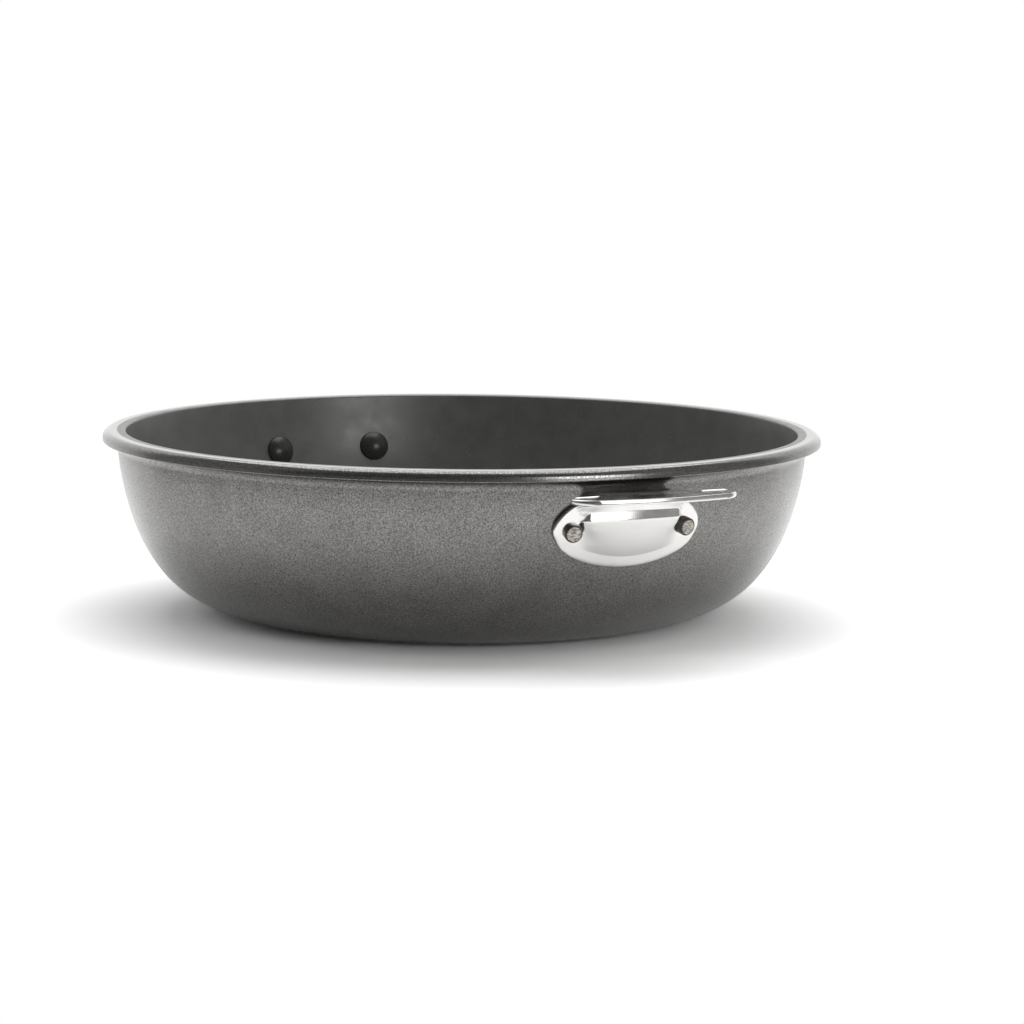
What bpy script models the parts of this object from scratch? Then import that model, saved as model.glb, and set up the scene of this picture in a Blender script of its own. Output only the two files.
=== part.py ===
"""Deep saute pan with two riveted side handles.

The pan stands on z = 0 with its axis on the world Z axis. The handles lie along X, and all
lengths are in metres. The body is turned, the handles are stamped from one sheet each, and
every handle hangs on two solid rivets.
"""
from math import atan2, cos, pi, radians, sin, tan

import bmesh
import bpy
import numpy as np
from mathutils import Matrix

MM = 0.001

# Pan body
RIM_RADIUS = 160.0 * MM
PAN_HEIGHT = 81.0 * MM
LIP_OVERHANG = 6.7 * MM
LIP_THICKNESS = 4.6 * MM
UNDER_LIP_FILLET = 4.4 * MM
RIM_ROUNDING = 1.5 * MM
LIP_LOWER_ROUNDING = 0.5 * MM
WALL_THICKNESS = 4.3 * MM
BASE_THICKNESS = 5.2 * MM
BASE_RADIUS = 89.5 * MM
CORNER_REACH = 43.7 * MM
WALL_REACH = 38.7 * MM
WALL_LEAN = radians(6.0)

# Handle sheet
SHEET = 2.3 * MM
PLATE_HALF_WIDTH = 34.0 * MM
PLATE_HALF_HEIGHT = 16.6 * MM
PLATE_DROP = 25.4 * MM
PILLOW_LIFT = 3.0 * MM
PILLOW_HALF_WIDTH = 22.5 * MM
PILLOW_SIDE_RISE = 14.0 * MM
PILLOW_RISE = 13.0 * MM
PILLOW_BORDER = 5.1 * MM
PILLOW_BOTTOM_RISE = 4.5 * MM
NECK_HALF_WIDTH = 21.5 * MM
NECK_FILLET = 3.0 * MM
EAR_RELEASE = 0.2
EAR_SPAN = 0.5
LEAN_BACK = radians(4.0)
LEAN_BACK_REACH = 3.1 * MM
BEND_RADIUS = 5.4 * MM
WING_SETBACK = 7.0 * MM
TAB_DROP = 9.5 * MM
TAB_DEPTH = 20.7 * MM
TAB_HALF_WIDTH = 38.7 * MM
TAB_SWEEP = 5.6 * MM
TAB_FRONT_CORNER = 9.0 * MM
TAB_BACK_CORNER = 1.2 * MM

# Rivets
RIVET_SPACING = 52.0 * MM
RIVET_DROP = 25.5 * MM
SHANK_RADIUS = 3.8 * MM
TAIL_STANDOUT = 2.5 * MM
TAIL_CHAMFER = 0.75 * MM
HEAD_RADIUS = 6.9 * MM
HEAD_HEIGHT = 3.6 * MM
HEAD_EDGE = 0.9 * MM

# Clearance and mesh fineness
CLEARANCE = 0.3 * MM
BODY_STEPS = 80
WALL_POINTS = 11
ARC_POINTS = 4
RIVET_STEPS = 24
DOME_POINTS = 6
SHEET_COLUMNS = 26
LOWER_ROWS = 8
BEND_ROWS = 10
NECK_ROWS = 5
TAB_ROWS = 7
LOWEST_ROW = radians(80.0)
TABLE_POINTS = 400
MERGE = 1e-5

WALL_TOP_RADIUS = RIM_RADIUS - LIP_OVERHANG
WALL_TOP_HEIGHT = PAN_HEIGHT - LIP_THICKNESS - UNDER_LIP_FILLET


def smooth(x):
    """Blend from 0 to 1 with flat ends."""
    x = np.clip(x, 0.0, 1.0)
    return x * x * (3.0 - 2.0 * x)


def crown(inside, reach):
    """Share of a pressed lift: 0 at its border, steepest there, and 1 at a reach inside it."""
    share = np.clip(inside / reach, 0.0, 1.0)
    return 1.0 - (1.0 - share) ** 2


def outer_wall(count):
    """Cubic curve of the outside from the flat base to under the lip: radii, heights, normals."""
    start = np.array([BASE_RADIUS, 0.0])
    pull_start = start + [CORNER_REACH, 0.0]
    end = np.array([WALL_TOP_RADIUS, WALL_TOP_HEIGHT])
    pull_end = end - WALL_REACH * np.array([sin(WALL_LEAN), cos(WALL_LEAN)])
    u = np.linspace(0.0, 1.0, count)[:, None]
    v = 1.0 - u
    point = v ** 3 * start + 3 * v * v * u * pull_start + 3 * v * u * u * pull_end + u ** 3 * end
    along = v * v * (pull_start - start) + 2 * v * u * (pull_end - pull_start)
    along = along + u * u * (end - pull_end)
    along = along / np.linalg.norm(along, axis=1)[:, None]
    normal = np.stack([along[:, 1], -along[:, 0]], axis=1)
    return point, normal, u


def wall_thickness(u):
    """Metal thickness along the wall curve, from the thicker base to the wall."""
    return BASE_THICKNESS + (WALL_THICKNESS - BASE_THICKNESS) * smooth(2.0 * u)


def offset_wall(distance):
    """Fine table of the surface at a distance outside the wall: heights and radii."""
    point, normal, _ = outer_wall(TABLE_POINTS)
    moved = point + distance * normal
    return moved[:, 1], moved[:, 0]


def offset_radius(height, distance):
    """Radius of the surface at a distance outside the wall, at a height."""
    heights, radii = offset_wall(distance)
    return np.interp(height, heights, radii)


def wall_slope(height):
    """Angle by which the outer wall leans out at a height."""
    step = CLEARANCE
    rise = offset_radius(height + step, 0.0) - offset_radius(height - step, 0.0)
    return atan2(float(rise), 2 * step)


def arc(centre, radius, start, end, count=ARC_POINTS):
    """Points of an arc in the profile plane, angles in radians from +X."""
    angles = np.linspace(start, end, count)
    return [(centre[0] + radius * cos(a), centre[1] + radius * sin(a)) for a in angles]


def body_profile():
    """Half section of the pan from the middle of the floor over the rim to the middle of the base."""
    point, normal, u = outer_wall(WALL_POINTS)
    inner = point - wall_thickness(u) * normal
    r, z = RIM_ROUNDING, PAN_HEIGHT
    turn = pi - WALL_LEAN
    edge = inner[-1, 0] + (z - inner[-1, 1] - r) * sin(WALL_LEAN) / cos(WALL_LEAN)
    profile = [(0.0, BASE_THICKNESS)]
    profile += [tuple(p) for p in inner]
    profile += arc((edge + r, z - r), r, turn, pi / 2)
    profile += arc((RIM_RADIUS - r, z - r), r, pi / 2, 0.0)
    low = LIP_LOWER_ROUNDING
    under = z - LIP_THICKNESS
    profile += arc((RIM_RADIUS - low, under + low), low, 0.0, -pi / 2)
    f = UNDER_LIP_FILLET
    profile += arc((WALL_TOP_RADIUS + f, under - f), f, pi / 2, pi)[:-1]
    profile += [tuple(p) for p in point[::-1]]
    profile += [(0.0, 0.0)]
    return profile


def add_material(obj, name, colour, roughness, metallic):
    """Give an object its own Principled material."""
    material = bpy.data.materials.new(name)
    material.use_nodes = True
    shader = material.node_tree.nodes["Principled BSDF"]
    shader.inputs["Base Color"].default_value = (*colour, 1.0)
    shader.inputs["Roughness"].default_value = roughness
    shader.inputs["Metallic"].default_value = metallic
    obj.data.materials.append(material)


def link(name, mesh, collection):
    """Put a mesh into the scene under a name."""
    obj = bpy.data.objects.new(name, mesh)
    collection.objects.link(obj)
    return obj


def turned(name, profile, steps, collection):
    """Turn a half section about local Z."""
    mesh = bpy.data.meshes.new(name)
    edges = [(i, i + 1) for i in range(len(profile) - 1)]
    mesh.from_pydata([(x, 0.0, z) for x, z in profile], edges, [])
    obj = link(name, mesh, collection)
    screw = obj.modifiers.new("Turn", "SCREW")
    screw.axis = "Z"
    screw.angle = 2 * pi
    screw.steps = steps
    screw.render_steps = steps
    screw.use_merge_vertices = True
    screw.merge_threshold = MERGE
    screw.use_smooth_shade = True
    return obj


def cut(obj, cutter):
    """Cut one object from another with an exact Boolean."""
    boolean = obj.modifiers.new("Cut " + cutter.name, "BOOLEAN")
    boolean.operation = "DIFFERENCE"
    boolean.solver = "EXACT"
    boolean.object = cutter


def sheet_grid():
    """Middle surface of the stamped handle in the X-Y-Z frame of the handle on +X.

    Rows run from the lower edge of the plate up to the front edge of the tab. The plate is an
    ellipse laid on the wall, with a shallow crowned pillow in its middle. The pillow leans back
    at its top and bends outward on an arc into the flat tab, whose wings start beyond a neck.
    The lift fades out sideways, so the ears stay on the wall.
    """
    seat = CLEARANCE + SHEET / 2
    rho = BEND_RADIUS + SHEET / 2
    plate_height = PAN_HEIGHT - PLATE_DROP
    tab_height = PAN_HEIGHT - TAB_DROP - SHEET / 2
    foot_height = tab_height - rho * (1.0 + sin(LEAN_BACK))
    fold_height = foot_height - LEAN_BACK_REACH
    draw_back = tan(wall_slope(foot_height)) + tan(LEAN_BACK)
    foot_lift = PILLOW_LIFT - draw_back * LEAN_BACK_REACH
    bend_x = float(offset_radius(foot_height, seat)) + foot_lift + rho * cos(LEAN_BACK)

    # Heights, half widths and middle reach of the rows on the plate and round the bend
    tilt = np.linspace(LOWEST_ROW, 0.0, LOWER_ROWS)
    low_z = plate_height - PLATE_HALF_HEIGHT * np.sin(tilt)
    low_w = PLATE_HALF_WIDTH * np.cos(tilt)
    mid_z = np.array([0.5 * (plate_height + fold_height), fold_height])
    angle = np.linspace(-LEAN_BACK, pi / 2, BEND_ROWS)
    bend_z = tab_height - rho * (1.0 - np.sin(angle))
    bent_x = bend_x - rho * np.cos(angle)
    rise = np.clip((np.append(mid_z, bend_z) - plate_height) / PLATE_HALF_HEIGHT, 0.0, 1.0)
    up_w = np.maximum(PLATE_HALF_WIDTH * np.sqrt(1.0 - rise ** 2), NECK_HALF_WIDTH)
    z = np.concatenate([low_z, mid_z, bend_z])[:, None]
    width = np.concatenate([low_w, up_w])[:, None]
    rows = len(z) - BEND_ROWS
    bend = np.concatenate([np.zeros(rows), np.linspace(0.0, 1.0, BEND_ROWS)])[:, None]

    # Sideways fade of the pillow; round the bend the ears leave the wall and join the neck
    across = np.linspace(-1.0, 1.0, SHEET_COLUMNS + 1)[None, :]
    y = across * width
    open_up = smooth(2.0 * bend)
    side = crown(PILLOW_HALF_WIDTH - np.abs(y), PILLOW_SIDE_RISE)
    ear = smooth((bend - EAR_RELEASE) / EAR_SPAN)
    border = plate_height - PLATE_HALF_HEIGHT + PILLOW_BORDER
    border = border + PILLOW_BOTTOM_RISE * (y / PILLOW_HALF_WIDTH) ** 2
    fade = (1.0 - (1.0 - side) * (1.0 - ear)) * crown(z - border, PILLOW_RISE)

    # On the wall a point keeps its seat; lifted, it follows the wall and then the bend
    on_wall = np.sqrt(offset_radius(z, seat) ** 2 - y ** 2)
    lift = PILLOW_LIFT - draw_back * np.clip(z - fold_height, 0.0, LEAN_BACK_REACH)
    lifted = np.sqrt((offset_radius(z, seat) + lift) ** 2 - (y * (1.0 - open_up)) ** 2)
    lifted[rows:] = lifted[rows:] * (1.0 - open_up[rows:]) + bent_x[:, None] * open_up[rows:]
    x = on_wall + (lifted - on_wall) * fade
    z = np.broadcast_to(z, x.shape)

    # Flat neck, which flares on a fillet into the wings
    out = np.linspace(0.0, 1.0, NECK_ROWS)[1:, None]
    flare = np.clip(1.0 - (1.0 - out) * WING_SETBACK / NECK_FILLET, 0.0, 1.0)
    neck_y = across * (NECK_HALF_WIDTH + NECK_FILLET * (1.0 - np.sqrt(1.0 - flare ** 2)))
    neck_x = np.broadcast_to(bend_x + out * WING_SETBACK, neck_y.shape)

    # Flat tab: the wings' rear edge meets the neck in a short step, the front edge is swept back,
    # and each end is an elliptic quarter between them
    share = np.sin(np.linspace(0.0, pi / 2, TAB_ROWS))[:, None]
    trim = TAB_FRONT_CORNER * (1.0 - np.sqrt(1.0 - share ** 2))
    trim[0] = TAB_BACK_CORNER
    tab_y = across * (TAB_HALF_WIDTH - trim)
    front = TAB_DEPTH - TAB_SWEEP * (tab_y / TAB_HALF_WIDTH) ** 2
    rear = WING_SETBACK + SHEET / 4
    tab_x = bend_x + rear + share * (front - rear)
    flat_x = np.vstack([neck_x, tab_x])
    flat_y = np.vstack([neck_y, tab_y])
    flat_z = np.full_like(flat_x, tab_height)
    return np.stack([np.vstack([x, flat_x]), np.vstack([y, flat_y]), np.vstack([z, flat_z])], axis=2)


def handle_mesh(name):
    """Sheet of quads through the grid points, facing the pan so that it thickens evenly."""
    grid = sheet_grid()
    rows, columns = grid.shape[:2]
    index = np.arange(rows * columns).reshape(rows, columns)
    corners = [index[:-1, :-1], index[:-1, 1:], index[1:, 1:], index[1:, :-1]]
    quads = np.stack(corners, axis=2).reshape(-1, 4)
    mesh = bpy.data.meshes.new(name)
    mesh.from_pydata(grid.reshape(-1, 3).tolist(), [], quads.tolist())
    mesh.shade_smooth()
    return mesh


def rivet_axis(turn, side):
    """Frame of a rivet: local Z points out of the wall, origin on the outer wall."""
    height = PAN_HEIGHT - RIVET_DROP
    radius = float(offset_radius(height, 0.0))
    swing = turn + side * RIVET_SPACING / (2 * radius)
    tilt = pi / 2 + wall_slope(height)
    spin = Matrix.Rotation(swing, 4, "Z") @ Matrix.Translation((radius, 0.0, height))
    return spin @ Matrix.Rotation(tilt, 4, "Y")


def metal_at_rivet():
    """Wall thickness where the rivets pass."""
    point, _, u = outer_wall(TABLE_POINTS)
    share = np.interp(PAN_HEIGHT - RIVET_DROP, point[:, 1], u[:, 0])
    return float(wall_thickness(share))


def head_seat():
    """Depth of the flat head underside below the outer wall, clear of the hollow inner wall."""
    inner = float(offset_radius(PAN_HEIGHT - RIVET_DROP, -metal_at_rivet()))
    hollow = HEAD_RADIUS ** 2 / (2 * inner)
    facet = inner * (1.0 - cos(pi / BODY_STEPS))
    return metal_at_rivet() + CLEARANCE + hollow + facet


def rivet_profile():
    """Half section of a rivet from the tail's end face to the top of the domed head."""
    tail = CLEARANCE + SHEET + TAIL_STANDOUT
    seat = -head_seat()
    rise = HEAD_HEIGHT - HEAD_EDGE
    ball = (HEAD_RADIUS ** 2 + rise ** 2) / (2 * rise)
    sweep = atan2(HEAD_RADIUS, ball - rise)
    centre = seat - HEAD_EDGE + ball - rise
    profile = [(0.0, tail), (SHANK_RADIUS - TAIL_CHAMFER, tail), (SHANK_RADIUS, tail - TAIL_CHAMFER)]
    profile += [(SHANK_RADIUS, seat), (HEAD_RADIUS, seat)]
    for i in range(DOME_POINTS):
        a = sweep * (1.0 - i / (DOME_POINTS - 1))
        profile.append((ball * sin(a), centre - ball * cos(a)))
    profile[-1] = (0.0, seat - HEAD_HEIGHT)
    return profile


def hole_cutter(name, frame, collection):
    """Cylinder that clears a rivet's shank through the wall and the plate."""
    mesh = bpy.data.meshes.new(name)
    work = bmesh.new()
    length = 2 * (head_seat() + SHEET + TAIL_STANDOUT)
    radius = SHANK_RADIUS + CLEARANCE
    bmesh.ops.create_cone(work, cap_ends=True, segments=RIVET_STEPS, radius1=radius,
                          radius2=radius, depth=length)
    work.to_mesh(mesh)
    work.free()
    cutter = link(name, mesh, collection)
    cutter.matrix_world = frame
    cutter.hide_render = True
    cutter.display_type = "WIRE"
    return cutter


def build():
    """Make the seven pieces."""
    for old in list(bpy.data.objects):
        bpy.data.objects.remove(old, do_unlink=True)
    parts = bpy.data.collections.new("Deep saute pan")
    cutters = bpy.data.collections.new("Cutters")
    for collection in (parts, cutters):
        bpy.context.scene.collection.children.link(collection)

    body = turned("pan_body", body_profile(), BODY_STEPS, parts)
    add_material(body, "Dark grey non-stick coated aluminium", (0.045, 0.045, 0.045), 0.42, 0.35)

    for name, turn in (("right", 0.0), ("left", pi)):
        handle = link("handle_" + name, handle_mesh("handle_" + name), parts)
        handle.rotation_euler.z = turn
        solid = handle.modifiers.new("Sheet", "SOLIDIFY")
        solid.thickness = SHEET
        solid.offset = 0.0
        solid.use_even_offset = True
        add_material(handle, "Polished stainless sheet " + name, (0.66, 0.65, 0.63), 0.16, 1.0)
        for end, side in (("front", -1), ("rear", 1)):
            frame = rivet_axis(turn, side if turn == 0.0 else -side)
            label = name + "_" + end
            cutter = hole_cutter("hole_" + label, frame, cutters)
            cut(body, cutter)
            cut(handle, cutter)
            rivet = turned("rivet_" + label, rivet_profile(), RIVET_STEPS, parts)
            rivet.matrix_world = frame
            add_material(rivet, "Rivet steel " + label, (0.42, 0.40, 0.37), 0.35, 1.0)


build()
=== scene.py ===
"""Looks of the deep saute pan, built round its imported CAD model.

Lengths are in metres in the frame of the CAD: the pan stands on z = 0 with its axis on Z, and the
handles lie along X. Only the camera's sensor and lens are in millimetres, as Blender takes them.
"""
import math

import bpy
import numpy as np
from mathutils import Matrix, Vector


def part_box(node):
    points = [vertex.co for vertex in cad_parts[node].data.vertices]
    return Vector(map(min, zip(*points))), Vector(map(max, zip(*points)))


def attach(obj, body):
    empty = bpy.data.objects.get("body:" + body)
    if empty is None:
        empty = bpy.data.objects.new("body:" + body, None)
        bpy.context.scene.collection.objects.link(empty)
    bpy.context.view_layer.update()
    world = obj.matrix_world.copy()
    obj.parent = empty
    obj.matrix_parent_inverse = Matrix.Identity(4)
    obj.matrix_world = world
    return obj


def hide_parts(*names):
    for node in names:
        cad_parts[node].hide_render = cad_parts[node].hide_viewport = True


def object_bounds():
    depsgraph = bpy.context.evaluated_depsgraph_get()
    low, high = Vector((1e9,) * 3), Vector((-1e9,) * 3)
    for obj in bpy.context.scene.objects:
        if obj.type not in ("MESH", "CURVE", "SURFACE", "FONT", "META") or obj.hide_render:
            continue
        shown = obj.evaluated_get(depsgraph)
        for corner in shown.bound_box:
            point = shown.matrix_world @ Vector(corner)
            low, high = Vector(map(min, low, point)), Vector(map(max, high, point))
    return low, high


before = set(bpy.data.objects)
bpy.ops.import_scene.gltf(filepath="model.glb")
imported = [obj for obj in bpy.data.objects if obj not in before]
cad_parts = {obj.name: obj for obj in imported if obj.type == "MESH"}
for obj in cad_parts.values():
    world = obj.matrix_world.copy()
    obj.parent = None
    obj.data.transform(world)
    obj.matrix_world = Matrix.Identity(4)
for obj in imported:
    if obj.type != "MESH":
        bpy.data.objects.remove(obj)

cad_low, cad_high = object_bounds()
MM = 0.001


# Camera
# The photograph looks across the rim from low over the table, with a long lens and a small
# shift, so that the near lip hides the pan's floor and the near handle stands right of centre.
VIEW_AZIMUTH = math.radians(63.0)
VIEW_ELEVATION = math.radians(6.256)
VIEW_DISTANCE = 1.472
CAMERA_ROLL = math.radians(0.499)
SENSOR_WIDTH_MM = 36.0
FOCAL_LENGTH_MM = 115.49
SHIFT_RIGHT = 0.0490
SHIFT_UP = -0.0819

to_camera = Vector((math.sin(VIEW_AZIMUTH) * math.cos(VIEW_ELEVATION),
                    -math.cos(VIEW_AZIMUTH) * math.cos(VIEW_ELEVATION),
                    math.sin(VIEW_ELEVATION)))
rim_centre = Vector((0.0, 0.0, cad_high.z))
camera = bpy.data.objects.new("Camera", bpy.data.cameras.new("Camera"))
camera.data.sensor_width = SENSOR_WIDTH_MM
camera.data.lens = FOCAL_LENGTH_MM
camera.data.shift_x = SHIFT_RIGHT
camera.data.shift_y = SHIFT_UP
camera.matrix_world = (Matrix.Translation(rim_centre + to_camera * VIEW_DISTANCE)
                       @ to_camera.to_track_quat("Z", "Y").to_matrix().to_4x4()
                       @ Matrix.Rotation(CAMERA_ROLL, 4, "Z"))
bpy.context.scene.collection.objects.link(camera)
bpy.context.scene.camera = camera


# Pan body
# The real body is one pressed aluminium disc, drawn deep and turned over at the top into a thick
# flat lip. The outside is sprayed with a fine flecked coating, and the inside with a smoother
# non-stick one that runs over the lip's inner edge.
RIM_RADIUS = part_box("pan_body")[1].y
PAN_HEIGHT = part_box("pan_body")[1].z
LIP_OVERHANG = 6.7 * MM
LIP_THICKNESS = 4.6 * MM
LIP_INNER_ROUNDING = 0.9 * MM
LIP_UPPER_ROUNDING = 3.2 * MM
LIP_LOWER_ROUNDING = 0.5 * MM
LIP_DIP = 0.1 * MM
UNDER_LIP_FILLET = 4.4 * MM
WALL_THICKNESS = 4.3 * MM
BASE_THICKNESS = 5.2 * MM
THICKNESS_BLEND = 0.5
BASE_RADIUS = 89.5 * MM
CORNER_REACH = 43.7 * MM
WALL_REACH = 38.7 * MM
WALL_LEAN = math.radians(6.0)
WALL_TOP_RADIUS = RIM_RADIUS - LIP_OVERHANG
WALL_TOP_HEIGHT = PAN_HEIGHT - LIP_THICKNESS - UNDER_LIP_FILLET
BODY_STEPS = 288
WALL_POINTS = 64
WALL_LOOKUP_POINTS = 400
ARC_POINTS = 9
FLAT_POINTS = 7
COATED_TOP_POINTS = 4


def smooth(x):
    """3x^2 - 2x^3 between 0 and 1, flat at both ends."""
    x = np.clip(x, 0.0, 1.0)
    return x * x * (3.0 - 2.0 * x)


def outer_wall(count):
    """Cubic Bezier of the outside from the base to under the lip: points, outward normals, share."""
    start = np.array([BASE_RADIUS, 0.0])
    pull_start = start + [CORNER_REACH, 0.0]
    end = np.array([WALL_TOP_RADIUS, WALL_TOP_HEIGHT])
    pull_end = end - WALL_REACH * np.array([math.sin(WALL_LEAN), math.cos(WALL_LEAN)])
    u = np.linspace(0.0, 1.0, count)[:, None]
    v = 1.0 - u
    point = v ** 3 * start + 3 * v * v * u * pull_start + 3 * v * u * u * pull_end + u ** 3 * end
    along = v * v * (pull_start - start) + 2 * v * u * (pull_end - pull_start)
    along = along + u * u * (end - pull_end)
    along = along / np.linalg.norm(along, axis=1)[:, None]
    return point, np.stack([along[:, 1], -along[:, 0]], axis=1), u


def wall_thickness(u):
    """Metal thickness at a share of the wall: the base's, blended to the wall's over a share."""
    return BASE_THICKNESS + (WALL_THICKNESS - BASE_THICKNESS) * smooth(u / THICKNESS_BLEND)


def offset_radius(height, distance):
    """Radius, at a height, of the surface that lies a distance outside the wall."""
    point, normal, _ = outer_wall(WALL_LOOKUP_POINTS)
    moved = point + distance * normal
    return np.interp(height, moved[:, 1], moved[:, 0])


def wall_slope(height):
    """Angle by which the outer wall leans out at a height, from the rise over 1 mm."""
    step = 0.5 * MM
    rise = offset_radius(height + step, 0.0) - offset_radius(height - step, 0.0)
    return math.atan2(float(rise), 2 * step)


def arc(centre, radius, start, end):
    """Points of an arc in the profile plane: centre + radius (cos a, sin a)."""
    a = np.linspace(start, end, ARC_POINTS)[:, None]
    return np.array(centre) + radius * np.hstack([np.cos(a), np.sin(a)])


def flat(start, end):
    """Points between two corners of the profile, drawn together at both ends."""
    share = smooth(np.linspace(0.0, 1.0, FLAT_POINTS + 2))[1:-1, None]
    return np.array(start) * (1.0 - share) + np.array(end) * share


def body_profile():
    """Half section from the middle of the floor over the rim to the middle of the underside.

    The lip's top falls inward by the dip, so the arcs at both of its edges end at that tilt. Also
    gives how many of the points belong to the inside coating."""
    point, normal, u = outer_wall(WALL_POINTS)
    inner = point - wall_thickness(u) * normal
    near = LIP_INNER_ROUNDING
    high = LIP_UPPER_ROUNDING
    low = LIP_LOWER_ROUNDING
    fillet = UNDER_LIP_FILLET
    edge = inner[-1, 0] + (PAN_HEIGHT - inner[-1, 1] - near) * math.tan(WALL_LEAN)
    tilt = math.pi / 2 + math.atan(LIP_DIP / (RIM_RADIUS - edge - near - high))
    inner_edge = arc((edge + near, PAN_HEIGHT - LIP_DIP - near), near, math.pi - WALL_LEAN, tilt)
    outer_edge = arc((RIM_RADIUS - high, PAN_HEIGHT - high), high, tilt, 0.0)
    top = flat(inner_edge[-1], outer_edge[0])
    under = PAN_HEIGHT - LIP_THICKNESS
    lower_edge = arc((RIM_RADIUS - low, under + low), low, 0.0, -math.pi / 2)
    under_lip = arc((WALL_TOP_RADIUS + fillet, under - fillet), fillet, math.pi / 2, math.pi)[:-1]
    floor_middle = np.array([[0.0, BASE_THICKNESS]])
    base_middle = np.array([[0.0, 0.0]])
    inside = [floor_middle, flat(floor_middle[0], inner[0]), inner, flat(inner[-1], inner_edge[0]),
              inner_edge, top[:COATED_TOP_POINTS]]
    outside = [top[COATED_TOP_POINTS:], outer_edge, flat(outer_edge[-1], lower_edge[0]), lower_edge,
               under_lip, point[::-1], flat(point[0], base_middle[0]), base_middle]
    return np.vstack(inside + outside), len(np.vstack(inside))


def turned_surface(name, profile, steps, place=None):
    """Closed surface of revolution: point (r cos t, r sin t, z) for each profile point and angle t.

    The profile runs from the axis to the axis, and its two ends become single pole points. place
    is a 4 x 4 matrix that puts the piece where it belongs. Faces are numbered row by row."""
    angle = np.linspace(0.0, 2.0 * math.pi, steps, endpoint=False)
    ring, height = profile[1:-1, 0:1], profile[1:-1, 1:2]
    grid = np.stack([ring * np.cos(angle), ring * np.sin(angle), height + 0.0 * angle], axis=2)
    poles = np.array([[0.0, 0.0, profile[0, 1]], [0.0, 0.0, profile[-1, 1]]])
    points = np.vstack([grid.reshape(-1, 3), poles])
    if place is not None:
        points = points @ np.array(place)[:3, :3].T + np.array(place)[:3, 3]
    rows = len(ring)
    index = np.arange(rows * steps).reshape(rows, steps)
    beside = np.roll(index, -1, axis=1)
    quads = np.stack([index[:-1], index[1:], beside[1:], beside[:-1]], axis=2).reshape(-1, 4)
    first = np.stack([np.full(steps, rows * steps), index[0], beside[0]], axis=1)
    last = np.stack([index[-1], np.full(steps, rows * steps + 1), beside[-1]], axis=1)
    mesh = bpy.data.meshes.new(name)
    mesh.from_pydata(points.tolist(), [], first.tolist() + quads.tolist() + last.tolist())
    mesh.shade_smooth()
    piece = bpy.data.objects.new(name, mesh)
    bpy.context.scene.collection.objects.link(piece)
    return piece


def use_second_material(piece, count):
    """Give a count of faces, from the first one on, the piece's second material."""
    face = np.arange(len(piece.data.polygons))
    piece.data.polygons.foreach_set("material_index", (face < count).astype(np.int32))


def linear(hex_colour):
    """Linear RGBA of an sRGB colour: c / 12.92 when dark, else ((c + 0.055) / 1.055) ^ 2.4."""
    c = np.array([int(hex_colour[i:i + 2], 16) for i in (1, 3, 5)]) / 255.0
    c = np.where(c <= 0.04045, c / 12.92, ((c + 0.055) / 1.055) ** 2.4)
    return (*c.tolist(), 1.0)


def add_node(tree, kind, settings, links=()):
    """Add a node. settings gives its properties and input values, links what feeds its inputs."""
    made = tree.nodes.new(kind)
    for name, value in settings.items():
        if isinstance(name, int) or name in made.inputs:
            made.inputs[name].default_value = value
        else:
            setattr(made, name, value)
    for name, source in dict(links).items():
        tree.links.new(source, made.inputs[name])
    return made


def new_material(name, piece):
    """Empty material on a piece: its node tree, Object coordinates and the output's surface."""
    material = bpy.data.materials.new(name)
    material.use_nodes = True
    tree = material.node_tree
    tree.nodes.clear()
    piece.data.materials.append(material)
    place = add_node(tree, "ShaderNodeTexCoord", {}).outputs["Object"]
    return tree, place, add_node(tree, "ShaderNodeOutputMaterial", {}).inputs["Surface"]


# A sprayed PTFE coat with aluminium flakes: dark grey and satin, with a fine sparkling grain. The
# real grain is about 0.1 mm, and is drawn at 0.6 mm so that it shows. The coat is rubbed smoother
# over the last 2 mm up to the rim. A noise pattern mostly lies between NOISE_LOW and NOISE_HIGH.
NOISE_LOW = 0.3
NOISE_HIGH = 0.7
FLAKE_GRAIN = 0.6 * MM
FLAKE_DEPTH = 0.015 * MM
FLAKE_DRIFT = 14.0 * MM
FLAKE_DARK = "#565655"
FLAKE_LIGHT = "#8f8d8b"
SPARKLE_HIGH = 0.72
DRIFT_DARK = 0.92
DRIFT_LIGHT = 1.06
FLAKE_ROUGHNESS_DARK = 0.28
FLAKE_ROUGHNESS_LIGHT = 0.21
FLAKE_METALLIC = 0.9
FLAKE_IOR = 1.45
RIM_WEAR = 2.0 * MM
RIM_GRAIN_KEPT = 0.3


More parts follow.
